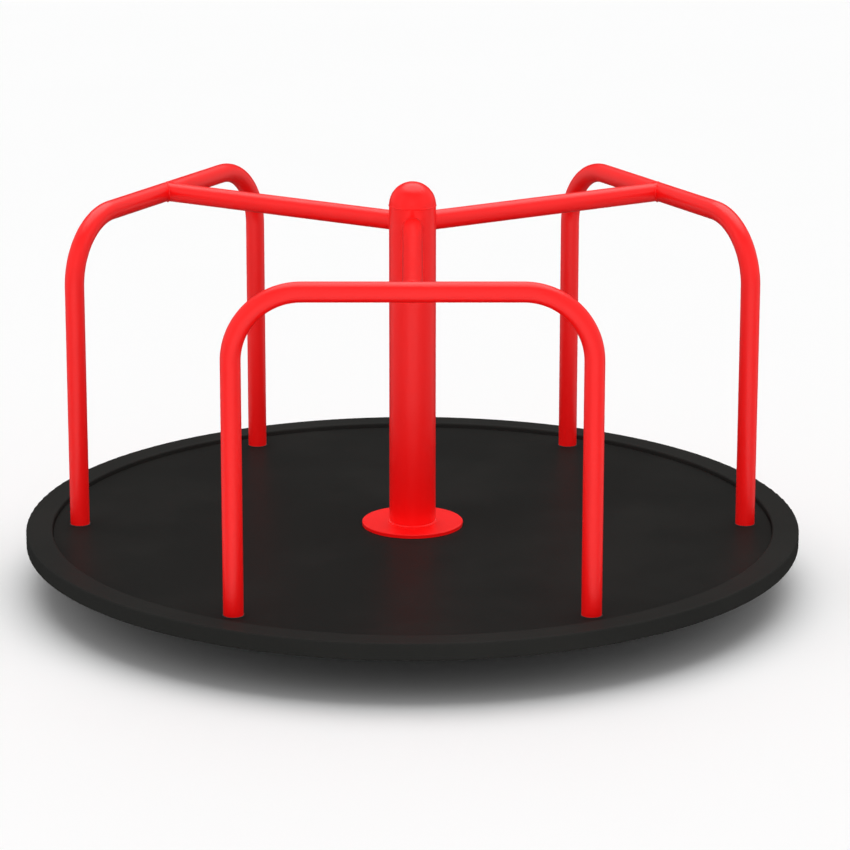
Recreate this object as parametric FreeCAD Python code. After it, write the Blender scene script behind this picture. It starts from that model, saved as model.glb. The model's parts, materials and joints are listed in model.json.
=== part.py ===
import FreeCAD, Part
import math
import os

# A playground merry-go-round. A black round platform turns on a fixed spindle that stands on a bolted ground
# plate. Three red handrail hoops stand on the platform, each tied to a central red column by one level spoke.
# The column hides the spindle and its upper ball bearing; the hub under the deck holds a taper roller bearing.
#
# Millimetres, +Z up. The origin is the centre of the ground plate's underside. Hoop 1 faces -Y.

Vector = FreeCAD.Vector
ORIGIN = Vector(0, 0, 0)
UP = Vector(0, 0, 1)

# ---------------------------------------------------------------- driving dimensions

# Overall
rim_diameter = 1700.0
ground_clearance = 95.0  # ground to the rim's underside
rail_height = 681.5  # deck surface to the centre of the handrail
column_rise = 39.0  # handrail centre to the column tube's top end

# Rim: a rolled rectangular tube
rim_width = 58.0
rim_height = 36.0
rim_wall = 3.0
rim_corner_radius = 4.0
rim_lip = 10.0  # the rim's top stands this far above the deck
drain_hole_diameter = 8.0

# Deck: one round plate let into the rim
deck_thickness = 4.0
deck_edge_gap = 1.5

# Handrail hoops and spokes: the same round tube
hoop_count = 3
rail_tube_diameter = 42.4
rail_tube_wall = 3.0
rail_bend_radius = 144.0
leg_inset = 57.4  # leg centre to the rim's inner wall
leg_hole_play = 0.5  # radial gap round a leg, in the deck and in the arm
leg_plug_length = 15.0

# Column, its foot flange and its dome
column_diameter = 102.0
column_wall = 6.0
flange_stud_edge = 23.0  # stud centres to the flange's edge
flange_thickness = 8.0
flange_edge_chamfer = 1.0
column_top_chamfer = 1.0
dome_wall = 4.0
dome_spigot_length = 26.0

# Platform frame: radial arms, arc bars between them and plates that close the arms at the rim
arm_width = 60.0
arm_height = 30.0
arm_wall = 3.0
arm_corner_radius = 4.0
end_plate_thickness = 3.0
bar_thickness = 6.0
ledge_width = 28.0
mid_bar_width = 40.0

# Hub
hub_wall = 17.0
hub_flange_thickness = 8.0
hub_web_overlap = 15.0  # the web over the lower bearing's outside, all round
hub_web_depth = 28.0  # top of the hub flange to the shoulder over the lower bearing
seal_space = 16.0  # hub barrel that runs on below the lower bearing
seal_thickness = 10.0
seal_step = 2.0  # hub barrel's lower end to the seal
running_clearance = 0.08  # radial gap between the seal and the spindle
hub_running_gap = 6.0  # hub barrel's lower end to the spindle's boss

# Lower bearing: taper rollers between a cone and a cup
lower_bore = 60.0
lower_outside = 110.0
lower_width = 23.75
cone_width = 22.0
cup_width = 19.0
roller_axis_angle = 12.8
roller_share = 0.51  # roller's diameter as a share of the bearing's section
roller_length = 16.0
roller_centre_height = 12.2  # above the cone's back face
roller_spacing = 2.0  # least gap between rollers
roller_play = 0.06
rib_gap = 0.3
large_rib = 3.0
small_rib = 1.5
roller_cage_wall = 1.5
roller_cage_offset = 1.6  # outward from the rollers' axes
roller_cage_end = 2.4  # cage past each end of the rollers
cage_pocket_play = 0.3

# Upper bearing: deep groove balls
upper_bore = 40.0
upper_width = 18.0
ball_share = 0.6  # ball's diameter as a share of the bearing's section
ball_spacing = 8.0  # least gap between balls
ball_play = 0.08
land_gap_share = 0.62  # gap between the races' lands, as a share of the ball
ball_cage_share = 0.27  # cage's wall as a share of the ball
ball_cage_margin = 1.4  # cage past the balls, above and below
upper_bearing_drop = 162.0  # handrail centre to the upper bearing's underside
housing_wall = 5.0
housing_shoulder_height = 8.0
housing_shoulder_share = 0.25  # shoulder's depth as a share of the bearing's section
housing_top_margin = 8.0
circlip_thickness = 2.5
circlip_width = 5.0
circlip_groove_depth = 1.5
circlip_gap_angle = 30.0

# Spindle and its lock nut
boss_step = 10.0  # boss past the seal land, all round
seal_land_step = 10.0  # seal land past the lower seat, all round
shaft_relief = 2.0  # shaft inside the lower seat, all round
shaft_clearance = 3.0  # least gap between the shaft and the upper bearing's housing
lower_seat_margin = 3.0
lock_washer_thickness = 1.25
lock_washer_rim = 5.0  # washer past its bore, all round
lock_nut_wall = 7.0
lock_nut_height = 9.0
lock_nut_slot_width = 6.0
lock_nut_slot_depth = 2.5
lock_nut_slots = 4
spindle_end_margin = 4.0
spindle_end_chamfer = 2.0

# Ground plate
plate_diameter = 420.0
plate_thickness = 14.0
plate_chamfer = 2.0
anchor_hole_diameter = 18.0
anchor_edge_distance = 35.0
gusset_thickness = 8.0
gusset_edge_distance = 60.0
gusset_toe = 8.0
gusset_drop = 2.0  # below the boss's top
gusset_crown = 12.0  # level part at the top, out from the boss

# Fasteners: M12 at the hub flange and the legs, M8 under the deck
m12 = {"thread": 12.0, "hole": 13.0, "flats": 18.0, "nut": 10.8, "head": 7.5, "washer": 24.0, "washer_thickness": 2.5}
m8 = {"thread": 8.0, "hole": 9.0, "flats": 13.0, "nut": 6.8, "head": 5.3, "washer": 16.0, "washer_thickness": 1.6}
hub_stud_gap = 16.0  # hub barrel's wall to the stud centres
arm_stud_gap = 1.0  # least gap between a stud's washer and an arm
stud_end_margin = 2.7
hex_chamfer = 0.8
nipple_base_flats = 9.0
nipple_base_height = 5.0
nipple_diameter = 6.0
nipple_length = 14.0
nipple_neck_depth = 1.0

# ---------------------------------------------------------------- levels and radii that follow

rim_outer_radius = rim_diameter / 2
rim_inner_radius = rim_outer_radius - rim_width
rim_bottom = ground_clearance
rim_top = rim_bottom + rim_height
deck_top = rim_top - rim_lip
deck_bottom = deck_top - deck_thickness
deck_radius = rim_inner_radius - deck_edge_gap

rail_level = deck_top + rail_height
rail_tube_radius = rail_tube_diameter / 2
leg_circle_radius = rim_inner_radius - leg_inset
arm_count = 2 * hoop_count
arm_step = 360.0 / arm_count
hoop_step = 360.0 / hoop_count
hoop_half_width = leg_circle_radius * math.sin(math.radians(arm_step / 2))
hoop_plane_radius = leg_circle_radius * math.cos(math.radians(arm_step / 2))
first_hoop_angle = -90.0

column_radius = column_diameter / 2
column_bore_radius = column_radius - column_wall
column_top = rail_level + column_rise

arm_bottom = deck_bottom - arm_height
leg_foot = arm_bottom + arm_wall
hub_flange_bottom = deck_bottom - hub_flange_thickness
hub_bore_radius = lower_outside / 2
hub_radius = hub_bore_radius + hub_wall
hub_web_radius = hub_bore_radius - hub_web_overlap
cup_shoulder = deck_bottom - hub_web_depth
lower_bearing_bottom = cup_shoulder - lower_width
hub_bottom = lower_bearing_bottom - seal_space
boss_top = hub_bottom - hub_running_gap

# The studs clear both the hub barrel and the arms on either side.
stud_off_arm = arm_width / 2 + m12["washer"] / 2 + arm_stud_gap
stud_circle_radius = max(hub_radius + hub_stud_gap, stud_off_arm / math.sin(math.radians(arm_step / 2)))
flange_radius = stud_circle_radius + flange_stud_edge

ledge_inner_radius = rim_inner_radius - ledge_width
ledge_stud_radius = rim_inner_radius - ledge_width / 2
mid_bar_radius = (hub_radius + leg_circle_radius) / 2

seal_land_radius = lower_bore / 2 + seal_land_step
boss_radius = seal_land_radius + boss_step
upper_outer_radius = column_bore_radius - housing_wall
upper_section = upper_outer_radius - upper_bore / 2
housing_shoulder_depth = housing_shoulder_share * upper_section
race_clear_radius = upper_outer_radius - housing_shoulder_depth - shaft_clearance
shaft_radius = min(lower_bore / 2 - shaft_relief, race_clear_radius)

upper_bearing_bottom = rail_level - upper_bearing_drop
upper_bearing_top = upper_bearing_bottom + upper_width
housing_top = upper_bearing_top + circlip_thickness + housing_top_margin
lock_washer_top = upper_bearing_top + lock_washer_thickness
lock_nut_top = lock_washer_top + lock_nut_height
spindle_top = lock_nut_top + spindle_end_margin

plate_radius = plate_diameter / 2
anchor_circle_radius = plate_radius - anchor_edge_distance

# ---------------------------------------------------------------- helpers


def disc(radius, bottom, top, x=0.0, y=0.0):
    """A vertical solid cylinder between two levels."""
    return Part.makeCylinder(radius, top - bottom, Vector(x, y, bottom))


def ring(outer_radius, inner_radius, bottom, top):
    """A flat ring about the Z axis between two levels."""
    return disc(outer_radius, bottom, top).cut(disc(inner_radius, bottom, top))


def revolved(profile):
    """A solid turned about the Z axis from (radius, level) corners."""
    corners = [Vector(radius, 0, level) for radius, level in profile]
    outline = Part.makePolygon(corners + corners[:1])
    return Part.Face(outline).revolve(ORIGIN, UP, 360)


def turned(shape, angle):
    """A copy turned about the Z axis, in degrees."""
    copy = shape.copy()
    copy.rotate(ORIGIN, UP, angle)
    return copy


def mirrored(shape):
    """The shape's twin across the plane x = 0."""
    return shape.mirror(ORIGIN, Vector(1, 0, 0))


def around(shape, count, start=0.0):
    """Copies of a shape, evenly spaced about the Z axis."""
    return [turned(shape, start + step * 360.0 / count) for step in range(count)]


def group(shapes):
    return Part.makeCompound(shapes)


def without(shape, tools):
    """The shape with every tool cut away."""
    return shape.cut(tools)


def beam_section(width, height, corner_radius):
    """A rounded rectangle in the YZ plane, centred on the origin, as a face."""
    half_width = width / 2
    half_height = height / 2
    box = Part.makeBox(1.0, width, height, Vector(0, -half_width, -half_height))
    long_edges = [edge for edge in box.Edges if abs(edge.tangentAt(edge.FirstParameter).x) > 0.5]
    rounded = box.makeFillet(corner_radius, long_edges)
    at_origin = [face for face in rounded.Faces if abs(face.CenterOfMass.x) < 1e-6]
    return at_origin[0]


def hexagon_prism(flats, bottom, top, x=0.0, y=0.0):
    """A vertical hexagonal prism whose outer end corners are eased."""
    corner_radius = flats / math.sqrt(3)
    angles = [math.radians(60 * step) for step in range(7)]
    corners = [Vector(corner_radius * math.cos(a), corner_radius * math.sin(a), bottom) for a in angles]
    prism = Part.Face(Part.makePolygon(corners)).extrude(Vector(0, 0, top - bottom))
    eased = revolved(
        [
            (0, bottom),
            (corner_radius - hex_chamfer, bottom),
            (corner_radius, bottom + hex_chamfer / 2),
            (corner_radius, top - hex_chamfer / 2),
            (corner_radius - hex_chamfer, top),
            (0, top),
        ]
    )
    prism = prism.common(eased)
    prism.translate(Vector(x, y, 0))
    return prism


def nut(size, bottom, x):
    """A hexagon nut standing on a level, at a distance along X."""
    return hexagon_prism(size["flats"], bottom, bottom + size["nut"], x).cut(
        disc(size["thread"] / 2, bottom, bottom + size["nut"], x)
    )


def washer(size, bottom, x):
    """A flat washer standing on a level, at a distance along X."""
    top = bottom + size["washer_thickness"]
    return disc(size["washer"] / 2, bottom, top, x).cut(disc(size["thread"] / 2, bottom, top, x))


# ---------------------------------------------------------------- fixed parts


def ground_plate():
    """A round plate with a bore for the spindle's boss and a ring of anchor holes."""
    plate = revolved(
        [
            (boss_radius, 0),
            (plate_radius, 0),
            (plate_radius, plate_thickness - plate_chamfer),
            (plate_radius - plate_chamfer, plate_thickness),
            (boss_radius, plate_thickness),
        ]
    )
    hole = disc(anchor_hole_diameter / 2, 0, plate_thickness, anchor_circle_radius)
    return without(plate, around(hole, arm_count, arm_step / 2))


def gussets():
    """Upright ribs between the spindle's boss and the ground plate."""
    toe_radius = plate_radius - gusset_edge_distance
    crown = boss_top - gusset_drop
    outline = [
        (0, plate_thickness),
        (toe_radius, plate_thickness),
        (toe_radius, plate_thickness + gusset_toe),
        (boss_radius + gusset_crown, crown),
        (0, crown),
    ]
    corners = [Vector(x, -gusset_thickness / 2, z) for x, z in outline]
    rib = Part.Face(Part.makePolygon(corners + corners[:1])).extrude(Vector(0, gusset_thickness, 0))
    rib = rib.cut(disc(boss_radius, 0, boss_top))
    return group(around(rib, arm_count))


def spindle():
    """A stepped bar: boss, seal land, lower seat, long shaft, upper seat and lock nut end."""
    lower_seat_top = lower_bearing_bottom + cone_width + lower_seat_margin
    return revolved(
        [
            (0, 0),
            (boss_radius, 0),
            (boss_radius, boss_top),
            (seal_land_radius, boss_top),
            (seal_land_radius, lower_bearing_bottom),
            (lower_bore / 2, lower_bearing_bottom),
            (lower_bore / 2, lower_seat_top),
            (shaft_radius, lower_seat_top),
            (shaft_radius, upper_bearing_bottom),
            (upper_bore / 2, upper_bearing_bottom),
            (upper_bore / 2, spindle_top - spindle_end_chamfer),
            (upper_bore / 2 - spindle_end_chamfer, spindle_top),
            (0, spindle_top),
        ]
    )


def lock_washer():
    bore_radius = upper_bore / 2
    return ring(bore_radius + lock_washer_rim, bore_radius, upper_bearing_top, lock_washer_top)


def lock_nut():
    """A round nut with hook spanner slots."""
    outer_radius = upper_bore / 2 + lock_nut_wall
    nut_ring = ring(outer_radius, upper_bore / 2, lock_washer_top, lock_nut_top)
    slot = Part.makeBox(
        2 * lock_nut_slot_depth,
        lock_nut_slot_width,
        lock_nut_height,
        Vector(outer_radius - lock_nut_slot_depth, -lock_nut_slot_width / 2, lock_washer_top),
    )
    return without(nut_ring, around(slot, lock_nut_slots))


# ---------------------------------------------------------------- lower bearing

# All the raceways and roller axes meet at one apex on the Z axis, above the bearing.
roller_pitch_radius = (lower_bore + lower_outside) / 4
roller_diameter = roller_share * (lower_outside - lower_bore) / 2
roller_count = math.floor(2 * math.pi * roller_pitch_radius / (roller_diameter + roller_spacing))
roller_centre_level = lower_bearing_bottom + roller_centre_height
apex_level = roller_centre_level + roller_pitch_radius / math.tan(math.radians(roller_axis_angle))
roller_centre_distance = roller_pitch_radius / math.sin(math.radians(roller_axis_angle))
roller_half_angle = math.degrees(math.atan(roller_diameter / 2 / roller_centre_distance))


def on_cone(angle, distance):
    """(radius, level) of a point at a distance from the apex, on a cone of that half angle."""
    return (
        distance * math.sin(math.radians(angle)),
        apex_level - distance * math.cos(math.radians(angle)),
    )


def off_roller_axis(point, offset):
    """The point moved square to the roller's axis, outwards."""
    radius, level = point
    return (
        radius + offset * math.cos(math.radians(roller_axis_angle)),
        level + offset * math.sin(math.radians(roller_axis_angle)),
    )


def bearing_cone():
    """Inner ring: a conical track between a large rib below and a small rib above."""
    track_angle = roller_axis_angle - roller_half_angle
    half_track = roller_length / 2 + rib_gap
    along_track = math.cos(math.radians(roller_half_angle))
    low = on_cone(track_angle, (roller_centre_distance + half_track) / along_track)
    high = on_cone(track_angle, (roller_centre_distance - half_track) / along_track)
    low_rib = off_roller_axis(low, large_rib)
    high_rib = off_roller_axis(high, small_rib)
    top = lower_bearing_bottom + cone_width
    return revolved(
        [
            (lower_bore / 2, lower_bearing_bottom),
            (low_rib[0], lower_bearing_bottom),
            low_rib,
            low,
            high,
            high_rib,
            (high_rib[0], top),
            (lower_bore / 2, top),
        ]
    )


def bearing_cup():
    """Outer ring: a plain conical track that opens downwards."""
    track_angle = math.radians(roller_axis_angle + roller_half_angle)
    bottom = cup_shoulder - cup_width
    return revolved(
        [
            ((apex_level - bottom) * math.tan(track_angle), bottom),
            (lower_outside / 2, bottom),
            (lower_outside / 2, cup_shoulder),
            ((apex_level - cup_shoulder) * math.tan(track_angle), cup_shoulder),
        ]
    )


def tapered_roller(growth=0.0):
    """One roller in the XZ plane, on its tilted axis. Growth is added all round."""
    near = roller_centre_distance - roller_length / 2 - max(growth, 0.0)
    far = roller_centre_distance + roller_length / 2 + max(growth, 0.0)
    spread = math.tan(math.radians(roller_half_angle))
    radius, level = on_cone(roller_axis_angle, near)
    tilt = math.radians(roller_axis_angle)
    axis = Vector(math.sin(tilt), 0, -math.cos(tilt))
    return Part.makeCone(
        near * spread + growth, far * spread + growth, far - near, Vector(radius, 0, level), axis
    )


def rollers():
    return group(around(tapered_roller(-roller_play), roller_count, first_hoop_angle))


def roller_cage():
    """A thin conical shell with a window for each roller."""
    half_length = roller_length / 2 + roller_cage_end
    low = on_cone(roller_axis_angle, roller_centre_distance + half_length)
    high = on_cone(roller_axis_angle, roller_centre_distance - half_length)
    outer_offset = roller_cage_offset + roller_cage_wall
    shell = revolved(
        [
            off_roller_axis(low, roller_cage_offset),
            off_roller_axis(low, outer_offset),
            off_roller_axis(high, outer_offset),
            off_roller_axis(high, roller_cage_offset),
        ]
    )
    return without(shell, around(tapered_roller(cage_pocket_play), roller_count, first_hoop_angle))


# ---------------------------------------------------------------- upper bearing

ball_pitch_radius = upper_outer_radius - upper_section / 2
ball_level = upper_bearing_bottom + upper_width / 2
ball_diameter = ball_share * upper_section
ball_count = math.floor(2 * math.pi * ball_pitch_radius / (ball_diameter + ball_spacing))
race_land_gap = land_gap_share * ball_diameter


def ball_track():
    return Part.makeTorus(ball_pitch_radius, ball_diameter / 2 + ball_play, Vector(0, 0, ball_level))


def inner_race():
    land_radius = ball_pitch_radius - race_land_gap / 2
    return ring(land_radius, upper_bore / 2, upper_bearing_bottom, upper_bearing_top).cut(ball_track())


def outer_race():
    land_radius = ball_pitch_radius + race_land_gap / 2
    return ring(upper_outer_radius, land_radius, upper_bearing_bottom, upper_bearing_top).cut(ball_track())


def balls():
    ball = Part.makeSphere(ball_diameter / 2, Vector(ball_pitch_radius, 0, ball_level))
    return group(around(ball, ball_count, first_hoop_angle))


def ball_cage():
    """A ring on the balls' pitch circle with a round pocket for each."""
    half_wall = ball_cage_share * ball_diameter / 2
    half_height = ball_diameter / 2 + ball_cage_margin
    band = ring(
        ball_pitch_radius + half_wall,
        ball_pitch_radius - half_wall,
        ball_level - half_height,
        ball_level + half_height,
    )
    pocket_radius = ball_diameter / 2 + cage_pocket_play
    pocket = Part.makeCylinder(pocket_radius, upper_outer_radius, Vector(0, 0, ball_level), Vector(1, 0, 0))
    return without(band, around(pocket, ball_count, first_hoop_angle))


def bearing_housing():
    """A ring inside the column: a seat for the outer race over a shoulder, with a circlip groove."""
    bottom = upper_bearing_bottom - housing_shoulder_height
    blank = disc(column_bore_radius, bottom, housing_top)
    shoulder_bore = disc(upper_outer_radius - housing_shoulder_depth, bottom, upper_bearing_bottom)
    seat = disc(upper_outer_radius, upper_bearing_bottom, housing_top)
    groove = disc(
        upper_outer_radius + circlip_groove_depth,
        upper_bearing_top,
        upper_bearing_top + circlip_thickness,
    )
    return without(blank, [shoulder_bore, seat, groove])


def circlip():
    """An open ring that springs into the housing's groove, with its gap towards hoop 1."""
    outer_radius = upper_outer_radius + circlip_groove_depth
    top = upper_bearing_top + circlip_thickness
    closed = ring(outer_radius, outer_radius - circlip_width, upper_bearing_top, top)
    gap = Part.makeCylinder(
        column_radius, circlip_thickness, Vector(0, 0, upper_bearing_top), UP, circlip_gap_angle
    )
    return closed.cut(turned(gap, first_hoop_angle - circlip_gap_angle / 2))


# ---------------------------------------------------------------- hub


def hub_barrel():
    """The barrel that holds the cup, with a web over it and room for the seal under it."""
    barrel = disc(hub_radius, hub_bottom, hub_flange_bottom)
    web_bore = disc(hub_web_radius, cup_shoulder, hub_flange_bottom)
    cup_bore = disc(hub_bore_radius, hub_bottom, cup_shoulder)
    return without(barrel, [web_bore, cup_bore, nipple_hole()])


def hub_flange():
    """The plate that carries the middle of the deck, drilled for the column's studs."""
    plate = ring(flange_radius, hub_web_radius, hub_flange_bottom, deck_bottom)
    return without(plate, stud_holes(hub_flange_bottom, deck_bottom))


def stud_holes(bottom, top):
    """Holes for the column flange's studs, half way between the arms."""
    hole = disc(m12["hole"] / 2, bottom, top, stud_circle_radius)
    return around(hole, arm_count, arm_step / 2)


def seal():
    """A lip seal between the hub barrel and the spindle's seal land."""
    bottom = hub_bottom + seal_step
    inner_radius = seal_land_radius + running_clearance
    return ring(hub_bore_radius, inner_radius, bottom, bottom + seal_thickness)


nipple_level = (hub_bottom + seal_step + seal_thickness + cup_shoulder - cup_width) / 2


def nipple_hole():
    """The tapped hole through the hub barrel for the grease nipple."""
    bore = Part.makeCylinder(nipple_diameter / 2, hub_radius, Vector(0, 0, nipple_level), Vector(1, 0, 0))
    return turned(bore, first_hoop_angle)


def grease_nipple():
    """A threaded stem, a hexagon and a nozzle, pointing out between two arms."""
    stem_radius = nipple_diameter / 2
    neck_radius = stem_radius - nipple_neck_depth
    tip = hub_radius + nipple_length
    profile = [
        (0, hub_bore_radius),
        (stem_radius, hub_bore_radius),
        (stem_radius, tip - 3 * nipple_neck_depth),
        (neck_radius, tip - 2 * nipple_neck_depth),
        (stem_radius, tip - nipple_neck_depth),
        (neck_radius, tip),
        (0, tip),
    ]
    hexagon = hexagon_prism(nipple_base_flats, hub_radius, hub_radius + nipple_base_height)
    flat_of_hub = Part.makeCylinder(
        hub_radius, 4 * nipple_base_flats, Vector(0, -2 * nipple_base_flats, 0), Vector(0, 1, 0)
    )
    upright = revolved(profile).fuse(hexagon.cut(flat_of_hub)).removeSplitter()
    upright.rotate(ORIGIN, Vector(0, 1, 0), 90)
    upright.translate(Vector(0, 0, nipple_level))
    return turned(upright, first_hoop_angle)


# ---------------------------------------------------------------- platform frame


def arm():
    """One rectangular tube along X, from the hub barrel to its end plate, notched for the hub flange."""
    end = rim_inner_radius - end_plate_thickness
    middle = deck_bottom - arm_height / 2
    outer = beam_section(arm_width, arm_height, arm_corner_radius)
    bore_radius = arm_corner_radius - arm_wall
    inner = beam_section(arm_width - 2 * arm_wall, arm_height - 2 * arm_wall, bore_radius)
    tube = outer.extrude(Vector(end, 0, 0)).cut(inner.extrude(Vector(end, 0, 0)))
    tube.translate(Vector(0, 0, middle))
    hub = disc(hub_radius, arm_bottom, deck_bottom)
    notch = disc(flange_radius, hub_flange_bottom, deck_bottom)
    leg_hole = disc(rail_tube_radius + leg_hole_play, leg_foot, deck_bottom, leg_circle_radius)
    bolt_hole = disc(m12["hole"] / 2, arm_bottom, leg_foot, leg_circle_radius)
    return without(tube, [hub, notch, leg_hole, bolt_hole])


def end_plates():
    """Plates that close the arms and are shaped to the rim's inner wall."""
    start = rim_inner_radius - end_plate_thickness
    sagitta = rim_inner_radius - math.sqrt(rim_inner_radius**2 - (arm_width / 2) ** 2)
    plate = Part.makeBox(
        end_plate_thickness + sagitta,
        arm_width,
        arm_height,
        Vector(start, -arm_width / 2, arm_bottom),
    )
    plate = plate.common(disc(rim_inner_radius, arm_bottom, deck_bottom))
    return group(around(plate, arm_count))


def arm_spaces(bottom, top):
    """Boxes as wide as the arms, to part the arc bars."""
    space = Part.makeBox(rim_outer_radius, arm_width, top - bottom, Vector(0, -arm_width / 2, bottom))
    return around(space, arm_count)


def edge_studs_at():
    """Angles of the studs near the rim: two in each space between arms."""
    return [arm_step * (space + share) for space in range(arm_count) for share in (0.3, 0.7)]


def middle_studs_at():
    """Angles of the studs half way out: one in each space between arms."""
    return [arm_step * (space + 0.5) for space in range(arm_count)]


def deck_fixings(at_stud):
    """One turned copy of a shape for each stud under the deck. at_stud makes it for a radius along X."""
    near_rim = [turned(at_stud(ledge_stud_radius), angle) for angle in edge_studs_at()]
    half_way = [turned(at_stud(mid_bar_radius), angle) for angle in middle_studs_at()]
    return near_rim + half_way


def arc_bars(outer_radius, inner_radius):
    """Flat arc bars under the deck, one between each pair of arms, drilled for the deck's studs."""
    bottom = deck_bottom - bar_thickness
    bars = ring(outer_radius, inner_radius, bottom, deck_bottom)
    holes = deck_fixings(lambda radius: disc(m8["hole"] / 2, bottom, deck_bottom, radius))
    return without(bars, arm_spaces(bottom, deck_bottom) + holes)


def edge_ledges():
    return arc_bars(rim_inner_radius, ledge_inner_radius)


def middle_bars():
    return arc_bars(mid_bar_radius + mid_bar_width / 2, mid_bar_radius - mid_bar_width / 2)


def rim():
    """A rolled rectangular tube, with a drain hole in its underside in each space between arms."""
    centre_radius = rim_outer_radius - rim_width / 2
    centre_level = rim_bottom + rim_height / 2
    inner_corner = rim_corner_radius - rim_wall
    outer = beam_section(rim_width, rim_height, rim_corner_radius)
    inner = beam_section(rim_width - 2 * rim_wall, rim_height - 2 * rim_wall, inner_corner)
    sections = [outer, inner]
    for section in sections:
        section.translate(Vector(0, centre_radius, centre_level))
    tubes = [section.revolve(ORIGIN, UP, 360) for section in sections]
    drain = disc(drain_hole_diameter / 2, rim_bottom, rim_bottom + rim_height / 2, centre_radius)
    return without(tubes[0], [tubes[1]] + around(drain, arm_count, arm_step / 2))


# ---------------------------------------------------------------- deck


def deck():
    """A round plate with a hole for each leg, for each column stud and over the hub."""
    plate = disc(deck_radius, deck_bottom, deck_top)
    leg_hole = disc(rail_tube_radius + leg_hole_play, deck_bottom, deck_top, leg_circle_radius)
    middle = disc(column_bore_radius, deck_bottom, deck_top)
    holes = around(leg_hole, arm_count) + stud_holes(deck_bottom, deck_top)
    return without(plate, holes + [middle])


deck_washer_bottom = deck_bottom - bar_thickness - m8["washer_thickness"]
deck_nut_bottom = deck_washer_bottom - m8["nut"]
deck_stud_end = deck_nut_bottom - stud_end_margin


def deck_studs():
    """Studs welded under the deck, so that nothing shows on top."""
    return group(deck_fixings(lambda radius: disc(m8["thread"] / 2, deck_stud_end, deck_bottom, radius)))


def deck_washers():
    return group(deck_fixings(lambda radius: washer(m8, deck_washer_bottom, radius)))


def deck_nuts():
    return group(deck_fixings(lambda radius: nut(m8, deck_nut_bottom, radius)))


# ---------------------------------------------------------------- column


def column():
    """The centre tube, chamfered at its top so that the joint with the dome shows as a fine line."""
    return revolved(
        [
            (column_bore_radius, deck_top),
            (column_radius, deck_top),
            (column_radius, column_top - column_top_chamfer),
            (column_radius - column_top_chamfer, column_top),
            (column_bore_radius, column_top),
        ]
    )


def column_flange():
    """The ring at the column's foot that lies on the deck."""
    top = deck_top + flange_thickness
    return revolved(
        [
            (column_radius, deck_top),
            (flange_radius, deck_top),
            (flange_radius, top - flange_edge_chamfer),
            (flange_radius - flange_edge_chamfer, top),
            (column_radius, top),
        ]
    )


def dome():
    """A hollow hemisphere with a spigot that plugs the column."""
    centre = Vector(0, 0, column_top)
    outer = Part.makeSphere(column_radius, centre, UP, 0, 90, 360)
    inner = Part.makeSphere(column_radius - dome_wall, centre, UP, 0, 90, 360)
    spigot_bottom = column_top - dome_spigot_length
    bore_radius = column_bore_radius - dome_wall
    spigot = ring(column_bore_radius, bore_radius, spigot_bottom, column_top)
    seat = ring(column_radius, bore_radius, column_top, column_top + dome_wall)
    shell = outer.cut(inner)
    return shell.fuse([spigot, seat.common(outer)]).removeSplitter()


flange_washer_bottom = hub_flange_bottom - m12["washer_thickness"]
flange_nut_bottom = flange_washer_bottom - m12["nut"]
flange_stud_end = flange_nut_bottom - stud_end_margin


def column_studs():
    """Studs welded under the column flange, through the deck and the hub flange."""
    stud = disc(m12["thread"] / 2, flange_stud_end, deck_top, stud_circle_radius)
    return group(around(stud, arm_count, arm_step / 2))


def column_washers():
    return group(around(washer(m12, flange_washer_bottom, stud_circle_radius), arm_count, arm_step / 2))


def column_nuts():
    return group(around(nut(m12, flange_nut_bottom, stud_circle_radius), arm_count, arm_step / 2))


# ---------------------------------------------------------------- handrails


def hoop_path():
    """The centre line of a hoop that faces +X: up one leg, across and down the other."""
    x = hoop_plane_radius
    side = hoop_half_width
    bend = rail_bend_radius
    lean = bend * math.sin(math.radians(45))
    points = {
        "foot": Vector(x, -side, leg_foot),
        "leg_top": Vector(x, -side, rail_level - bend),
        "bend": Vector(x, -side + bend - lean, rail_level - bend + lean),
        "bar_start": Vector(x, -side + bend, rail_level),
    }
    opposite = {name: Vector(point.x, -point.y, point.z) for name, point in points.items()}
    edges = [
        Part.LineSegment(points["foot"], points["leg_top"]),
        Part.Arc(points["leg_top"], points["bend"], points["bar_start"]),
        Part.LineSegment(points["bar_start"], opposite["bar_start"]),
        Part.Arc(opposite["bar_start"], opposite["bend"], opposite["leg_top"]),
        Part.LineSegment(opposite["leg_top"], opposite["foot"]),
    ]
    return Part.Wire([edge.toShape() for edge in edges])


def swept(path, radius):
    """A round solid of that radius along the hoop's path."""
    start = path.OrderedVertexes[0].Point
    section = Part.Wire(Part.makeCircle(radius, start, UP))
    return path.makePipeShell([section], True, False)


def hoop():
    path = hoop_path()
    return swept(path, rail_tube_radius).cut(swept(path, rail_tube_radius - rail_tube_wall))


def spoke():
    """A level tube from the column to the middle of the hoop's bar, shaped to both."""
    start = Vector(0, 0, rail_level)
    along = Vector(1, 0, 0)
    outer = Part.makeCylinder(rail_tube_radius, hoop_plane_radius, start, along)
    inner = Part.makeCylinder(rail_tube_radius - rail_tube_wall, hoop_plane_radius, start, along)
    column_space = disc(column_radius, deck_top, column_top)
    bar_start = Vector(hoop_plane_radius, -rail_tube_diameter, rail_level)
    bar_space = Part.makeCylinder(rail_tube_radius, 2 * rail_tube_diameter, bar_start, Vector(0, 1, 0))
    return without(outer, [inner, column_space, bar_space])


def leg_plugs():
    """Tapped plugs welded in the feet of the legs."""
    top = leg_foot + leg_plug_length
    plug = disc(rail_tube_radius - rail_tube_wall, leg_foot, top, leg_circle_radius)
    plug = plug.cut(disc(m12["thread"] / 2, leg_foot, top, leg_circle_radius))
    return group(around(plug, arm_count))


leg_washer_bottom = arm_bottom - m12["washer_thickness"]


def leg_washers():
    return group(around(washer(m12, leg_washer_bottom, leg_circle_radius), arm_count))


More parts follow.
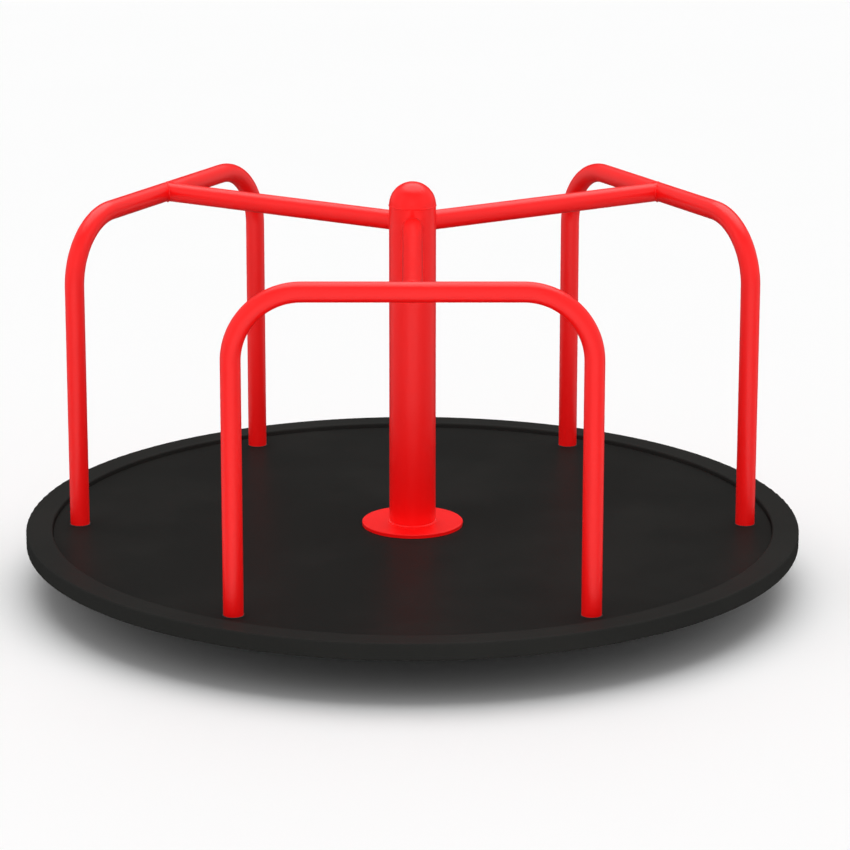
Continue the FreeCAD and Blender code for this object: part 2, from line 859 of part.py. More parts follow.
def leg_bolts():
    """Hexagon bolts from below, through each arm into the plug of its leg."""
    head_bottom = leg_washer_bottom - m12["head"]
    head = hexagon_prism(m12["flats"], head_bottom, leg_washer_bottom, leg_circle_radius)
    shank = disc(m12["thread"] / 2, leg_washer_bottom, leg_foot + leg_plug_length, leg_circle_radius)
    return group(around(head.fuse(shank), arm_count))


# ---------------------------------------------------------------- all the nodes


def build():
    nodes = {
        "ground_plate": ground_plate(),
        "spindle_gussets": gussets(),
        "spindle": spindle(),
        "spindle_lock_washer": lock_washer(),
        "spindle_lock_nut": lock_nut(),
        "lower_bearing_cone": bearing_cone(),
        "lower_bearing_cup": bearing_cup(),
        "lower_bearing_rollers": rollers(),
        "lower_bearing_cage": roller_cage(),
        "upper_bearing_inner_race": inner_race(),
        "upper_bearing_outer_race": outer_race(),
        "upper_bearing_balls": balls(),
        "upper_bearing_cage": ball_cage(),
        "upper_bearing_housing": bearing_housing(),
        "upper_bearing_circlip": circlip(),
        "hub_barrel": hub_barrel(),
        "hub_flange": hub_flange(),
        "hub_seal": seal(),
        "grease_nipple": grease_nipple(),
        "arm_end_plates": end_plates(),
        "deck_edge_ledges": edge_ledges(),
        "deck_middle_bars": middle_bars(),
        "rim": rim(),
        "deck": deck(),
        "deck_studs": deck_studs(),
        "deck_washers": deck_washers(),
        "deck_nuts": deck_nuts(),
        "column": column(),
        "column_flange": column_flange(),
        "column_dome": dome(),
        "column_studs": column_studs(),
        "column_washers": column_washers(),
        "column_nuts": column_nuts(),
        "leg_plugs": leg_plugs(),
        "leg_washers": leg_washers(),
        "leg_bolts": leg_bolts(),
    }
    for number, shape in enumerate(around(arm(), arm_count), start=1):
        nodes[f"arm_{number}"] = shape
    hoops = around(hoop(), hoop_count, first_hoop_angle)
    hoops[-1] = mirrored(hoops[1])
    for number, shape in enumerate(hoops, start=1):
        nodes[f"handrail_{number}"] = shape
    for number, shape in enumerate(around(spoke(), hoop_count, first_hoop_angle), start=1):
        nodes[f"spoke_{number}"] = shape
    return nodes


def export(nodes):
    os.makedirs("parts", exist_ok=True)
    for name, shape in nodes.items():
        shape.exportStep(f"parts/{name}.step")
        closed = all(solid.isValid() and solid.isClosed() for solid in shape.Solids)
        print(f"{name}: {len(shape.Solids)} solids, {shape.Volume / 1000:.1f} cm3, sound: {closed}")


export(build())
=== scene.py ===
# %% [markdown]
# # A playground merry-go-round
#
# Three red handrail hoops stand on a round black platform, and a level red spoke ties each hoop to a
# domed centre column. The CAD model gives the shapes and sizes. This lesson loads it as a fixed frame
# and then adds what a CAD model leaves out: smooth bent tubes, weld beads, sealed joints, paint and
# light.

import json
import math

import bpy
from mathutils import Matrix, Vector


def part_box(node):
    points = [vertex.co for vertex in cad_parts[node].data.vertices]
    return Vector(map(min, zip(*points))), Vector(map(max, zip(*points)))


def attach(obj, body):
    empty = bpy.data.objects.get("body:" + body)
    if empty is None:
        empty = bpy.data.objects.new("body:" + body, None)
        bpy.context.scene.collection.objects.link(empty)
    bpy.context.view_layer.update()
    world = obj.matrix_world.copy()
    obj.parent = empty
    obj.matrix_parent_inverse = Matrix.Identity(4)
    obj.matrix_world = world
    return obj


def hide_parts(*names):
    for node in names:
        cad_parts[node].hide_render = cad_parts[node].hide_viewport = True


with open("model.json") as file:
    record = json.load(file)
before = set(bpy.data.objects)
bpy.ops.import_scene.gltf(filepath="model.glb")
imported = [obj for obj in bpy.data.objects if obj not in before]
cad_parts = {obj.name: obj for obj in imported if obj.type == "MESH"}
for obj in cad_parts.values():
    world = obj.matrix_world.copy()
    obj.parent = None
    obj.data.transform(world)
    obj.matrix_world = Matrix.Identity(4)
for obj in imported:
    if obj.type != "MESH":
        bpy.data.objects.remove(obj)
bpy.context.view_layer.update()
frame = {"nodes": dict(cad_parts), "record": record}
cad_nodes = frame["nodes"]
for plain in list(bpy.data.materials):
    plain.name = "plain_" + plain.name  # leaves its name free for the finish that takes its place

# %% [markdown]
# ## Sizes
#
# Places and sizes are worked out from the boxes of the CAD nodes, in metres, so a new size in the CAD
# model moves the added pieces too. A few sizes that no box gives exactly, such as the radius of the
# tube's bends, are repeated from it. Handrail 1 faces -Y and the other two are the same hoop, turned.

# %% Read the sizes from the frame


def span(node):
    """(lowest corner, highest corner, size) of a CAD node."""
    low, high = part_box(node)
    return low, high, high - low


rail_low, rail_high, rail_size = span("handrail_1")
rail_radius = rail_size.y / 2
rail_level = rail_high.z - rail_radius
rail_foot = rail_low.z
rail_half_width = rail_high.x - rail_radius
rail_plane = -(rail_low.y + rail_high.y) / 2
leg_circle = math.hypot(rail_half_width, rail_plane)
rail_bend = 0.144
stand_off = 0.0004  # between a wall and the middle of the bead on it

deck_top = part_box("deck")[1].z
deck_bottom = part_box("deck")[0].z
deck_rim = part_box("deck_edge_ledges")[1].y
column_radius = span("column")[2].x / 2
flange_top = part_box("column_flange")[1].z
hoop_angles = [math.radians(-90 + 120 * n) for n in range(3)]
arm_angles = [math.radians(60 * n) for n in range(6)]
print(f"tube {2000 * rail_radius:.1f} mm, rail level {rail_level:.3f} m, legs on radius {leg_circle:.3f} m")
print(f"column {2000 * column_radius:.0f} mm, deck at {deck_top:.3f} m")

# %% [markdown]
# ## Graphs written as Python
#
# Geometry trees and shader trees are both graphs of nodes. Placing each node and link by hand hides the
# sum it stands for, so one small class wraps an output socket. Adding or multiplying two of them adds a
# Math node, and one method makes any other node from its type, its settings and what goes into its
# sockets.

# %% A socket that can be used like a number


class Wire:
    """An output socket that takes part in sums."""

    def __init__(self, graph, socket):
        self.graph = graph
        self.socket = socket

    def __add__(self, other):
        return self.graph.math("ADD", self, other)

    __radd__ = __add__

    def __mul__(self, other):
        return self.graph.math("MULTIPLY", self, other)

    __rmul__ = __mul__

    def __sub__(self, other):
        return self.graph.math("SUBTRACT", self, other)

    def __rsub__(self, other):
        return self.graph.math("SUBTRACT", other, self)

    def __truediv__(self, other):
        return self.graph.math("DIVIDE", self, other)

    def __rtruediv__(self, other):
        return self.graph.math("DIVIDE", other, self)


class Graph:
    """A node tree and the two ways to add to it: a sum, or any other node."""

    def __init__(self, tree):
        self.tree = tree

    def node(self, kind, settings=None, inputs=None, output=0):
        """Adds a node. Settings are made first, then values or wires go in by socket name or number."""
        made = self.tree.nodes.new(kind)
        for name, value in (settings or {}).items():
            setattr(made, name, value)
        for key, value in (inputs or {}).items():
            self.feed(made.inputs[key], value)
        return Wire(self, made.outputs[output]) if len(made.outputs) else made

    def feed(self, socket, value):
        if isinstance(value, Wire):
            self.tree.links.new(value.socket, socket)
        else:
            socket.default_value = value

    def math(self, operation, *values):
        settings = {"operation": operation}
        return self.node("ShaderNodeMath", settings, dict(enumerate(values)))

    def clamp(self, value):
        """Keeps a value between 0 and 1."""
        return self.node("ShaderNodeClamp", None, {"Value": value, "Min": 0.0, "Max": 1.0})


print("graph helper ready")

# %% [markdown]
# ## Geometry trees
#
# Each tree below makes one kind of piece from a guide: a mesh of bare edges that says where the piece
# runs. The tree's sizes are named inputs. `build` runs the tree on its guide and keeps the result as a
# plain mesh, so the finished piece has no modifier left on it.

# %% Start and end a geometry tree


def geometry_tree(name, inputs):
    """A new tree with a guide input and a named number input for each size. Returns graph, guide, wires."""
    tree = bpy.data.node_groups.new(name, "GeometryNodeTree")
    tree.interface.new_socket("Guide", in_out="INPUT", socket_type="NodeSocketGeometry")
    for label, (kind, default) in inputs.items():
        socket = tree.interface.new_socket(label, in_out="INPUT", socket_type=kind)
        socket.default_value = default
    tree.interface.new_socket("Piece", in_out="OUTPUT", socket_type="NodeSocketGeometry")
    graph = Graph(tree)
    source = tree.nodes.new("NodeGroupInput")
    wires = {socket.name: Wire(graph, socket) for socket in source.outputs if socket.name}
    return graph, wires.pop("Guide"), wires


def end_tree(graph, geometry, material):
    """Ends a tree the way every tree here ends: real geometry and one material."""
    real = graph.node("GeometryNodeRealizeInstances", None, {0: geometry})
    painted = graph.node("GeometryNodeSetMaterial", None, {"Geometry": real, "Material": material})
    result = graph.tree.nodes.new("NodeGroupOutput")
    graph.feed(result.inputs[0], painted)


print("geometry tree helpers ready")

# %% Lay a guide and run a tree on it


def guide_mesh(name, lines, closed=False):
    """Bare edges along each list of points."""
    points = []
    edges = []
    for line in lines:
        start = len(points)
        points += line
        edges += [(start + n, start + n + 1) for n in range(len(line) - 1)]
        if closed:
            edges.append((len(points) - 1, start))
    mesh = bpy.data.meshes.new(name)
    mesh.from_pydata(points, edges, [])
    return mesh


def build(name, tree, guide, values, body):
    """Runs a tree on its guide and rides the resulting plain mesh on a body."""
    scratch = bpy.data.objects.new(name + "_guide", guide)
    bpy.context.scene.collection.objects.link(scratch)
    modifier = scratch.modifiers.new("tree", "NODES")
    modifier.node_group = tree
    identifiers = {item.name: item.identifier for item in tree.interface.items_tree}
    for label, value in values.items():
        modifier[identifiers[label]] = value
    evaluated = scratch.evaluated_get(bpy.context.evaluated_depsgraph_get())
    mesh = bpy.data.meshes.new_from_object(evaluated)
    bpy.data.objects.remove(scratch)
    mesh.name = name
    piece = bpy.data.objects.new(name, mesh)
    bpy.context.scene.collection.objects.link(piece)
    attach(piece, body)
    print(f"{name}: {len(mesh.polygons)} faces")
    return piece


def turned(points, angle):
    """Points turned about the axis of spin."""
    spin = Matrix.Rotation(angle, 3, "Z")
    return [spin @ point for point in points]


print("piece helpers ready")

# %% [markdown]
# ## Colours and light on paint
#
# The finishes come before the shapes, because each tree sets its own material. Powder paint is a smooth
# skin with a faint orange peel. Its colour hardly varies, but its gloss does: hands polish a rail, and
# shoes dull a deck. Patterns are read from Object coordinates, which are the same for every piece, in
# metres.

# %% Start a material


def finish(name):
    """A new material. Returns the material, its graph, its shader node and the point on the object."""
    material = bpy.data.materials.new(name)
    material.use_nodes = True
    tree = material.node_tree
    graph = Graph(tree)
    shader = tree.nodes["Principled BSDF"]
    place = graph.node("ShaderNodeTexCoord", None, None, "Object")
    return material, graph, shader, place


def noise(graph, place, size, detail=2.0, roughness=0.5):
    """Smooth cloudy noise with features of about that size in metres, from 0 to 1."""
    inputs = {"Vector": place, "Scale": 1.0 / size, "Detail": detail, "Roughness": roughness}
    return graph.node("ShaderNodeTexNoise", {"noise_dimensions": "3D"}, inputs)


def mix(graph, amount, first, second):
    """Blends two colours."""
    inputs = {0: amount, 6: first, 7: second}
    return graph.node("ShaderNodeMix", {"data_type": "RGBA"}, inputs, 2)


def smooth_step(graph, value, low, high):
    """0 below one value, 1 above another, with a soft change between."""
    settings = {"interpolation_type": "SMOOTHSTEP"}
    inputs = {"Value": value, "From Min": low, "From Max": high}
    return graph.node("ShaderNodeMapRange", settings, inputs)


def bump(graph, height, strength, distance):
    inputs = {"Height": height, "Strength": strength, "Distance": distance}
    return graph.node("ShaderNodeBump", None, inputs)


print("material helpers ready")

# %% [markdown]
# Gloss red is on the rails, spokes and column. The paint is one thick coat over steel tube. The column's
# copy of it is made lighter than the rails', and that is painted light: it brightens the column as if more
# light fell on it. A faint darker cloud keeps the colour alive, and the orange peel has shallow waves about
# 3 mm long.

# %% Gloss red powder paint


def red_paint(name, colour, roughness):
    material, graph, shader, place = finish(name)
    cloud = noise(graph, place, 0.11, 3.0)
    deeper = tuple(0.88 * channel for channel in colour[:3]) + (1.0,)
    graph.feed(shader.inputs["Base Color"], mix(graph, 0.5 * cloud, colour, deeper))
    handled = noise(graph, place, 0.035, 4.0)
    graph.feed(shader.inputs["Roughness"], roughness + 0.10 * (handled - 0.5))
    peel = noise(graph, place, 0.0030, 1.0)
    fine = noise(graph, place, 0.0009, 1.0)
    graph.feed(shader.inputs["Normal"], bump(graph, peel + 0.3 * fine, 0.05, 0.0006))
    shader.inputs["Specular IOR Level"].default_value = 0.40
    return material


rail_red = red_paint("rail_red", (0.92, 0.004, 0.004, 1.0), 0.32)
# The column's red is the same paint made lighter: painted light that stands in for more light falling on
# the column.
column_red = red_paint("column_red", (0.98, 0.002, 0.002, 1.0), 0.30)
print("red paints ready")

# %% [markdown]
# Satin black is on the deck, the rim and the frame below. The rim's black is made lighter than the deck's,
# and that is painted light: it lifts the rim's side wall, which is in shade. Black paint shows dust and
# scuffs more than red does. So the deck gets a fine grain, a few wide dull patches where feet land, and
# small specks of dust.

# %% Satin black paints


def black_paint(name, shade, roughness, grain, scuffs):
    material, graph, shader, place = finish(name)
    base = (shade, shade, 0.94 * shade, 1.0)
    dusty = (1.9 * shade, 1.85 * shade, 1.7 * shade, 1.0)
    cloud = smooth_step(graph, noise(graph, place, 0.30, 4.0, 0.6), 0.40, 0.75)
    speck = smooth_step(graph, noise(graph, place, 0.004, 2.0), 0.58, 0.80)
    worn = graph.clamp(scuffs * (0.55 * cloud + 0.35 * speck))
    graph.feed(shader.inputs["Base Color"], mix(graph, worn, base, dusty))
    graph.feed(shader.inputs["Roughness"], roughness + 0.16 * worn + 0.05 * cloud)
    texture = noise(graph, place, grain, 2.0)
    graph.feed(shader.inputs["Normal"], bump(graph, texture, 0.12, 0.0006))
    shader.inputs["Specular IOR Level"].default_value = 0.012
    return material


black_paint("deck_black", 0.0130, 0.36, 0.0016, 0.5)
# The rim's black is lighter than the deck's: painted light that brightens its shaded side wall.
black_paint("rim_black", 0.0178, 0.42, 0.0022, 0.35)
frame_black = black_paint("frame_black", 0.0150, 0.40, 0.0022, 0.6)
print("black paints ready")

# %% [markdown]
# The bare metals are out of the weather or under the deck. Hot dip galvanising leaves a patchwork of
# spangles, zinc plate is fine and even, turned steel has rings from the tool, and ground steel is
# nearly a mirror.

# %% Galvanised, plated, turned and ground steel


def galvanised(name):
    material, graph, shader, place = finish(name)
    settings = {"feature": "F1"}
    inputs = {"Vector": place, "Scale": 1.0 / 0.014, "Randomness": 1.0}
    cell = graph.node("ShaderNodeTexVoronoi", settings, inputs, "Color")
    spangle = graph.node("ShaderNodeSeparateColor", None, {0: cell}, 0)
    cloud = noise(graph, place, 0.05, 3.0)
    light = (0.52, 0.54, 0.56, 1.0)
    dark = (0.36, 0.38, 0.40, 1.0)
    graph.feed(shader.inputs["Base Color"], mix(graph, 0.6 * spangle + 0.4 * cloud, light, dark))
    graph.feed(shader.inputs["Roughness"], 0.36 + 0.22 * spangle)
    graph.feed(shader.inputs["Normal"], bump(graph, cloud + 0.3 * spangle, 0.15, 0.0006))
    shader.inputs["Metallic"].default_value = 1.0
    return material


def turned_steel(name, shade, roughness, pitch):
    """Steel with faint rings at a pitch along the axis of spin."""
    material, graph, shader, place = finish(name)
    height = graph.node("ShaderNodeSeparateXYZ", None, {0: place}, "Z")
    rings = graph.math("SINE", height * (2 * math.pi / pitch))
    cloud = noise(graph, place, 0.02, 3.0)
    light = (shade, shade, shade, 1.0)
    dark = (0.82 * shade, 0.82 * shade, 0.84 * shade, 1.0)
    graph.feed(shader.inputs["Base Color"], mix(graph, cloud, light, dark))
    graph.feed(shader.inputs["Roughness"], roughness + 0.12 * cloud)
    graph.feed(shader.inputs["Normal"], bump(graph, rings, 0.10, 0.0002))
    shader.inputs["Metallic"].default_value = 1.0
    return material


def plated(name, light, dark, roughness):
    material, graph, shader, place = finish(name)
    cloud = noise(graph, place, 0.006, 4.0)
    graph.feed(shader.inputs["Base Color"], mix(graph, cloud, light, dark))
    graph.feed(shader.inputs["Roughness"], roughness + 0.14 * cloud)
    graph.feed(shader.inputs["Normal"], bump(graph, noise(graph, place, 0.0008), 0.08, 0.0003))
    shader.inputs["Metallic"].default_value = 1.0
    return material


galvanised_steel = galvanised("galvanised_steel")
turned_steel("machined_steel", 0.50, 0.26, 0.0009)
turned_steel("bearing_steel", 0.62, 0.12, 0.0004)
plated("zinc_plate", (0.60, 0.61, 0.62, 1.0), (0.48, 0.49, 0.52, 1.0), 0.28)
plated("pressed_steel", (0.36, 0.36, 0.37, 1.0), (0.26, 0.26, 0.27, 1.0), 0.36)
plated("brass_cage", (0.70, 0.47, 0.16, 1.0), (0.56, 0.36, 0.11, 1.0), 0.30)
plated("brass_fitting", (0.74, 0.50, 0.18, 1.0), (0.60, 0.38, 0.12, 1.0), 0.24)
print("metals ready")

# %% [markdown]
# The hub's seal and the beads round the hoops' feet are black rubber. It is dull, with a faint grey
# bloom that comes and goes over a centimetre or so.

# %% Rubber for the seals


def rubber(name):
    material, graph, shader, place = finish(name)
    bloom = noise(graph, place, 0.012, 4.0)
    dark = (0.010, 0.010, 0.010, 1.0)
    dull = (0.022, 0.021, 0.020, 1.0)
    graph.feed(shader.inputs["Base Color"], mix(graph, bloom, dark, dull))
    graph.feed(shader.inputs["Roughness"], 0.62 + 0.20 * bloom)
    graph.feed(shader.inputs["Normal"], bump(graph, noise(graph, place, 0.0012), 0.15, 0.0004))
    return material


seal_rubber = rubber("seal_rubber")
print("rubber ready")

# %% [markdown]
# ## Paint the CAD nodes
#
# The record says which finish each node has, and the finishes above have the record's names. Painting
# is one loop, and a node that the CAD model gains later is painted too.

# %% Give every CAD node its finish
for entry in frame["record"]["subparts"]:
    node = cad_nodes[entry["node"]]
    node.data.materials.clear()
    node.data.materials.append(bpy.data.materials[entry["material_slot"]])
print(f"{len(cad_nodes)} nodes painted")

# %% [markdown]
# ## Handrails
#
# A handrail is one steel tube, bent twice on a former. Its rule is short: a path of four points, two
# rounded corners and a circle swept along it. So a tree makes it, with more steps round the tube than
# the CAD mesh has, and it stands in for the CAD node.

# %% The bent tube tree
tube_inputs = {
    "Tube Radius": ("NodeSocketFloat", 0.02),
    "Bend Radius": ("NodeSocketFloat", 0.1),
    "Bend Steps": ("NodeSocketInt", 40),
    "Round Steps": ("NodeSocketInt", 64),
}
graph, guide, size = geometry_tree("bent_tube", tube_inputs)
path = graph.node("GeometryNodeMeshToCurve", None, {0: guide})
bend = {"Curve": path, "Radius": size["Bend Radius"], "Count": size["Bend Steps"], "Limit Radius": True}
bent = graph.node("GeometryNodeFilletCurve", {"mode": "POLY"}, bend)
ring = {"Resolution": size["Round Steps"], "Radius": size["Tube Radius"]}
circle = graph.node("GeometryNodeCurvePrimitiveCircle", None, ring)
sweep = {"Curve": bent, "Profile Curve": circle, "Fill Caps": True}
tube = graph.node("GeometryNodeCurveToMesh", None, sweep)
end_tree(graph, tube, rail_red)
bent_tube_tree = graph.tree
print(f"{bent_tube_tree.name}: {len(bent_tube_tree.nodes)} nodes")

# %% Bend the three handrails
hoop_path = [
    Vector((rail_plane, -rail_half_width, rail_foot)),
    Vector((rail_plane, -rail_half_width, rail_level)),
    Vector((rail_plane, rail_half_width, rail_level)),
    Vector((rail_plane, rail_half_width, rail_foot)),
]
hoop_sizes = {"Tube Radius": rail_radius, "Bend Radius": rail_bend}
for number, angle in enumerate(hoop_angles, start=1):
    guide = guide_mesh("hoop_guide", [turned(hoop_path, angle)])
    piece = build(f"handrail_tube_{number}", bent_tube_tree, guide, hoop_sizes, "platform")
    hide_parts(f"handrail_{number}")

# %% [markdown]
# ## Weld beads
#
# Welded joints are where one tube meets another, and a bare CAD joint looks glued. A bead is a thin
# rope of metal along the joint line with a ripple for each small movement of the torch. One tree makes
# all of them: it sweeps a circle along the joint line and lets its radius rise and fall with the
# distance along the line.

# %% The weld bead tree
bead_inputs = {
    "Bead Radius": ("NodeSocketFloat", 0.002),
    "Ripple Pitch": ("NodeSocketFloat", 0.003),
    "Ripple Depth": ("NodeSocketFloat", 0.12),
    "Round Steps": ("NodeSocketInt", 10),
}


def bead_tree(name, material):
    graph, guide, size = geometry_tree(name, bead_inputs)
    line = graph.node("GeometryNodeMeshToCurve", None, {0: guide})
    spacing = size["Ripple Pitch"] / 4
    even = graph.node("GeometryNodeResampleCurve", {"mode": "LENGTH"}, {"Curve": line, "Length": spacing})
    along = graph.node("GeometryNodeSplineParameter", None, None, "Length")
    wave = graph.math("SINE", along * (2 * math.pi) / size["Ripple Pitch"])
    swell = 1.0 + size["Ripple Depth"] * wave
    ring = {"Resolution": size["Round Steps"], "Radius": size["Bead Radius"]}
    circle = graph.node("GeometryNodeCurvePrimitiveCircle", None, ring)
    sweep = {"Curve": even, "Profile Curve": circle, "Scale": swell, "Fill Caps": True}
    rope = graph.node("GeometryNodeCurveToMesh", None, sweep)
    end_tree(graph, rope, material)
    return graph.tree


red_bead_tree = bead_tree("red_bead", rail_red)
column_bead_tree = bead_tree("column_bead", column_red)
seal_bead_tree = bead_tree("seal_bead", seal_rubber)
black_bead_tree = bead_tree("black_bead", frame_black)
zinc_bead_tree = bead_tree("zinc_bead", galvanised_steel)


def joint_loop(at, steps=96):
    """Points round a closed joint line, from a function of the angle."""
    return [at(2 * math.pi * step / steps) for step in range(steps)]


print("bead trees ready")

# %% [markdown]
# A spoke meets the column along a saddle line, and it meets the handrail, a tube of its own size, along
# two half ellipses. Both lines follow from the two radii: step round the spoke, and read off how far
# along it the other tube's wall is.

# %% Weld the spokes


def spoke_at_column(turn):
    side = rail_radius * math.sin(turn)
    return Vector((math.sqrt(column_radius**2 - side**2), side, rail_level + rail_radius * math.cos(turn)))


def spoke_at_rail(turn):
    side = rail_radius * math.sin(turn)
    return Vector((rail_plane - abs(side), side, rail_level + rail_radius * math.cos(turn)))


one_spoke = [joint_loop(spoke_at_column), joint_loop(spoke_at_rail)]
spoke_lines = [turned(line, angle) for angle in hoop_angles for line in one_spoke]
guide = guide_mesh("spoke_joints", spoke_lines, closed=True)
build("spoke_welds", red_bead_tree, guide, {"Bead Radius": 0.0022}, "platform")

# %% [markdown]
# The column stands square on its flange, so the joint line there is a plain circle.

# %% Weld the column to its flange


def level_circle(radius, level, steps=180):
    return joint_loop(lambda turn: Vector((radius * math.cos(turn), radius * math.sin(turn), level)), steps)


guide = guide_mesh("column_joint", [level_circle(column_radius, flange_top)], closed=True)
build("column_weld", column_bead_tree, guide, {"Bead Radius": 0.0026}, "platform")

# %% [markdown]
# ## Seals where water would get in
#
# The dome sits in the column's mouth, and each leg goes through a hole in the deck. Both joints get a
# smooth bead of sealant, so they use the bead tree with no ripple. The dome's bead is painted over with
# the column.

# %% Seal the dome and the feet


def foot_ring(angle):
    """A circle round one leg, just on the deck."""
    middle = Vector((leg_circle * math.cos(angle), leg_circle * math.sin(angle), 0))
    return [middle + point for point in level_circle(rail_radius + stand_off, deck_top, 48)]


seal_drop = 0.0005  # below the column's mouth, where the dome's corner is
seal_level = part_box("column")[1].z - seal_drop
guide = guide_mesh("dome_joint", [level_circle(column_radius - stand_off, seal_level)], closed=True)
dome_sizes = {"Bead Radius": 0.0015, "Ripple Depth": 0.0, "Ripple Pitch": 0.012}
build("dome_seal", column_bead_tree, guide, dome_sizes, "platform")
guide = guide_mesh("foot_joints", [foot_ring(angle) for angle in arm_angles], closed=True)
foot_sizes = {**dome_sizes, "Bead Radius": 0.0014}
build("foot_seals", seal_bead_tree, guide, foot_sizes, "platform")

# %% [markdown]
# ## Welds under the platform
#
# Seen from below, the frame is a star of six arms. Beads run where the arms meet the hub and their end
# plates, where the arc bars meet the arms, and as short stitches where the outer bars meet the rim.
# Each joint line is drawn for the arm that lies along +X and then turned to the other five.

# %% Measure the frame
hub_radius = span("hub_barrel")[2].x / 2
hub_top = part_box("hub_barrel")[1].z
arm_low, arm_high, arm_size = span("arm_1")
arm_side = arm_size.y / 2
bar_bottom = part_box("deck_edge_ledges")[0].z
ledge_width = 0.028
middle_bar_width = 0.040
middle_bar_radius = 0.423  # to a middle bar's outer edge
ledge_reach = (deck_rim - ledge_width, arm_high.x)
middle_reach = (middle_bar_radius - middle_bar_width, middle_bar_radius)
under_sink = 0.0006  # how far the beads under an arm are let into it
stitch_angles = [math.radians(middle) for middle in (8, 19, 30, 41, 52)]
print(f"arms {2000 * arm_side:.0f} mm wide, hub {2000 * hub_radius:.0f} mm across")

# %% Draw the joint lines of one arm


def along_line(start, end, steps=12):
    """Points on a straight joint line."""
    return [start.lerp(end, step / steps) for step in range(steps + 1)]


def under_arm(reach_at, top, half_steps=8):
    """A joint line down one side of an arm, across its underside and up the other side."""
    low = arm_low.z + under_sink
    left, right = reach_at(-arm_side), reach_at(arm_side)
    down = along_line(Vector((left, -arm_side, top)), Vector((left, -arm_side, low)))
    across = [arm_side * (step / half_steps - 1) for step in range(1, 2 * half_steps)]
    up = along_line(Vector((right, arm_side, low)), Vector((right, arm_side, top)))
    return down + [Vector((reach_at(y), y, low)) for y in across] + up


def beside_arm(reach, side):
    """A bar's end, welded to the side of an arm."""
    y = side * (arm_side + stand_off)
    return along_line(Vector((reach[0], y, bar_bottom)), Vector((reach[1], y, bar_bottom)))


def rim_stitch(middle, half_length=0.020, steps=8):
    """A short bead between an outer bar and the rim's inner wall, centred on an angle."""
    half_angle = half_length / deck_rim
    turns = [middle + half_angle * (2 * step / steps - 1) for step in range(steps + 1)]
    return [Vector((deck_rim * math.cos(turn), deck_rim * math.sin(turn), bar_bottom)) for turn in turns]


one_arm = [
    under_arm(lambda y: math.sqrt(hub_radius**2 - y**2), hub_top),
    under_arm(lambda y: arm_high.x, deck_bottom),
]
one_arm += [beside_arm(reach, side) for reach in (ledge_reach, middle_reach) for side in (-1, 1)]
one_arm += [rim_stitch(middle) for middle in stitch_angles]
print(f"{len(one_arm)} joint lines on each arm")

# %% Weld the frame
frame_lines = [turned(line, angle) for angle in arm_angles for line in one_arm]
guide = guide_mesh("frame_joints", frame_lines)
frame_bead = {"Bead Radius": 0.0020, "Round Steps": 8}
build("frame_welds", black_bead_tree, guide, frame_bead, "platform")

# %% [markdown]
# The base was welded before it was dipped in zinc, so its beads have the same spangled skin. Two beads
# run along each gusset's foot, two climb its inner edge, and one goes round the spindle's boss.

# %% Weld the base
plate_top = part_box("ground_plate")[1].z
gusset_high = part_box("spindle_gussets")[1]
gusset_side = 0.004  # half of a gusset's thickness
boss_radius = span("spindle")[2].x / 2
gusset_root = math.sqrt(boss_radius**2 - gusset_side**2)


def beside_gusset(side):
    """The bead along the foot of a gusset and the one up its inner edge."""
    y = side * gusset_side
    toe = Vector((gusset_high.x, y, plate_top))
    root = Vector((gusset_root, y, plate_top))
    return [along_line(toe, root), along_line(root, Vector((gusset_root, y, gusset_high.z)))]


one_gusset = beside_gusset(-1) + beside_gusset(1)
gusset_lines = [turned(line, angle) for angle in arm_angles for line in one_gusset]
guide = guide_mesh("gusset_joints", gusset_lines)
gusset_bead = {"Bead Radius": 0.0024, "Round Steps": 8}
build("gusset_welds", zinc_bead_tree, guide, gusset_bead, "base")
guide = guide_mesh("boss_joint", [level_circle(boss_radius, plate_top)], closed=True)
build("boss_weld", zinc_bead_tree, guide, {"Bead Radius": 0.0024}, "base")

# %% [markdown]
# ## A plain floor, soft light and the camera
#
# The object stands on a white floor so wide that its edge is never seen. The gloss doesn't see it, so
# the outlines of the tubes stay dark.

# %% Lay the floor


def white_floor(name):
    material, graph, shader, place = finish(name)
    tone = noise(graph, place, 0.8, 2.0)
    graph.feed(shader.inputs["Base Color"], mix(graph, tone, (0.93, 0.93, 0.93, 1), (0.94, 0.94, 0.94, 1)))
    shader.inputs["Roughness"].default_value = 0.9
    shader.inputs["Specular IOR Level"].default_value = 0.0
    return material


floor_mesh = bpy.data.meshes.new("floor")
floor_reach = 40.0
corners = [(x * floor_reach, y * floor_reach, 0) for x, y in ((-1, -1), (1, -1), (1, 1), (-1, 1))]
floor_mesh.from_pydata(corners, [], [(0, 1, 2, 3)])
floor_mesh.materials.append(white_floor("floor_white"))
floor = bpy.data.objects.new("floor", floor_mesh)
bpy.context.scene.collection.objects.link(floor)
floor.visible_glossy = False
print("floor laid")

# %% [markdown]
# One round glow high in the sky does most of the work: it whitens the floor and throws the soft shadow
# under the platform. Two low glows, left and right, reach in under the rim and lighten the shadow's
# ends. A faint one at the front, and one below it that only the gloss can see, stand for light thrown
# back by the room. Three fill lamps then lift the upright tubes. They are kept off the floor, or they
# would wash the shadow out.

# %% Light the sky
scene = bpy.context.scene
world = bpy.data.worlds.new("studio")
scene.world = world
world.use_nodes = True
graph = Graph(world.node_tree)
direction = graph.node("ShaderNodeTexCoord", None, None, "Generated")


def soft_light(brightness, azimuth, elevation, reach, softness):
    """A round glow: full within reach degrees of its middle, and gone softness degrees further out."""
    turn, tilt = math.radians(azimuth), math.radians(elevation)
    middle = (math.sin(turn) * math.cos(tilt), math.cos(turn) * math.cos(tilt), math.sin(tilt))
    settings = {"operation": "DOT_PRODUCT"}
    facing = graph.node("ShaderNodeVectorMath", settings, {0: direction, 1: middle}, "Value")
    outer = math.cos(math.radians(reach + softness))
    inner = math.cos(math.radians(reach))
    return brightness * smooth_step(graph, facing, outer, inner)


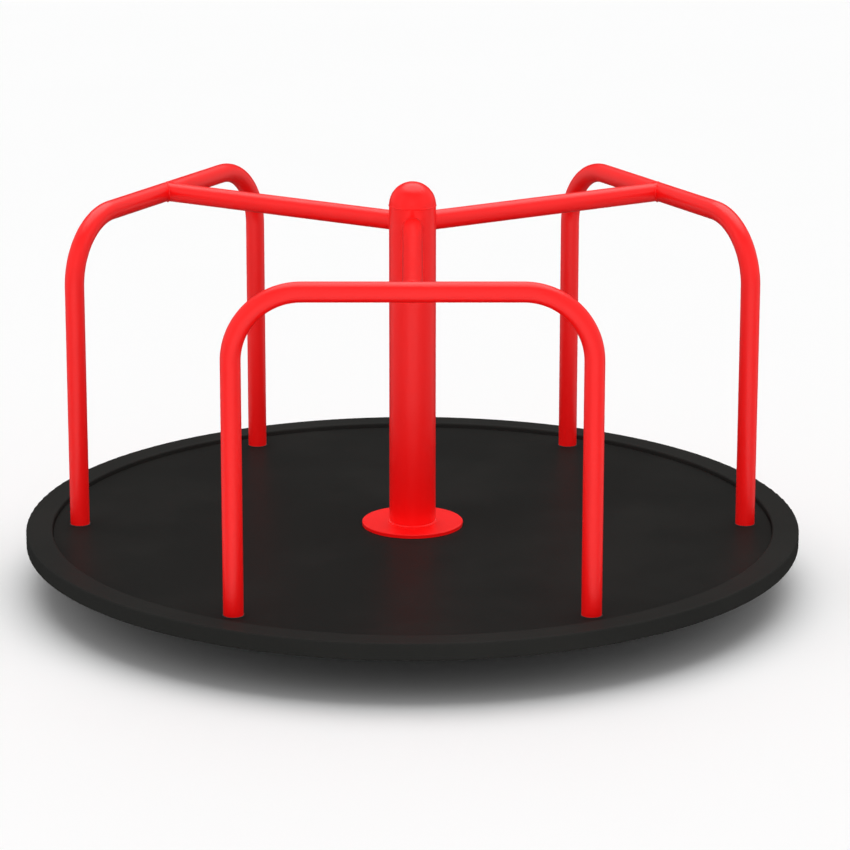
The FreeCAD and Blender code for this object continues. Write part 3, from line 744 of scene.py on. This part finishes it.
overhead = soft_light(2.45, 6, 68, 24, 16)
front_glow = soft_light(0.38, 180, 20, 30, 55)
side_glows = soft_light(0.57, 280, 18, 25, 30) + soft_light(0.57, 80, 18, 25, 30)
front_bounce = soft_light(0.90, 180, -42, 26, 26)
studio = 0.06 + overhead + front_glow + side_glows + front_bounce
backdrop = 0.975
seen = graph.node("ShaderNodeLightPath", None, None, "Is Camera Ray")
strength = seen * backdrop + (1 - seen) * studio
sky = world.node_tree.nodes["Background"]
sky.inputs["Color"].default_value = (1.0, 1.0, 1.0, 1.0)
graph.feed(sky.inputs["Strength"], strength)
print(f"sky lit with {len(world.node_tree.nodes)} nodes")

# %% Add the fill lamps
unlit = bpy.data.collections.new("kept_out_of_the_fill_light")
unlit.objects.link(floor)
unlit.collection_objects[0].light_linking.link_state = "EXCLUDE"


def fill_light(name, azimuth, elevation, strength):
    """A wide, far lamp that brightens the object from one side, with no glint, and misses the floor."""
    lamp = bpy.data.lights.new(name, "SUN")
    lamp.energy = strength
    lamp.angle = math.radians(80)
    holder = bpy.data.objects.new(name, lamp)
    holder.rotation_euler = (math.radians(90 - elevation), 0, math.radians(180 - azimuth))
    holder.visible_glossy = False
    holder.light_linking.receiver_collection = unlit
    scene.collection.objects.link(holder)


fill_light("front_left_fill", 216, 14, 1.20)
fill_light("front_right_fill", 148, 14, 1.05)
fill_light("back_fill", 0, 14, 0.45)
print("3 fill lamps added")

# %% [markdown]
# The camera looks a little down on the deck from the front. A long lens far away keeps the ellipses of
# the platform flat, and a small shift centres the object.

# %% Set up the camera
view_target = Vector((0.0, 0.0, 0.383))
lens = bpy.data.cameras.new("camera")
lens.lens = 162.8
lens.sensor_width = 36.0
lens.shift_x = 0.0147
lens.shift_y = -0.0183
camera = bpy.data.objects.new("camera", lens)
camera.location = (0.0, -8.1235, 2.6229)
camera.rotation_euler = (view_target - camera.location).to_track_quat("-Z", "Y").to_euler()
scene.collection.objects.link(camera)
scene.camera = camera
scene.view_settings.view_transform = "Standard"
print(f"camera {(camera.location - view_target).length:.2f} m from the object")
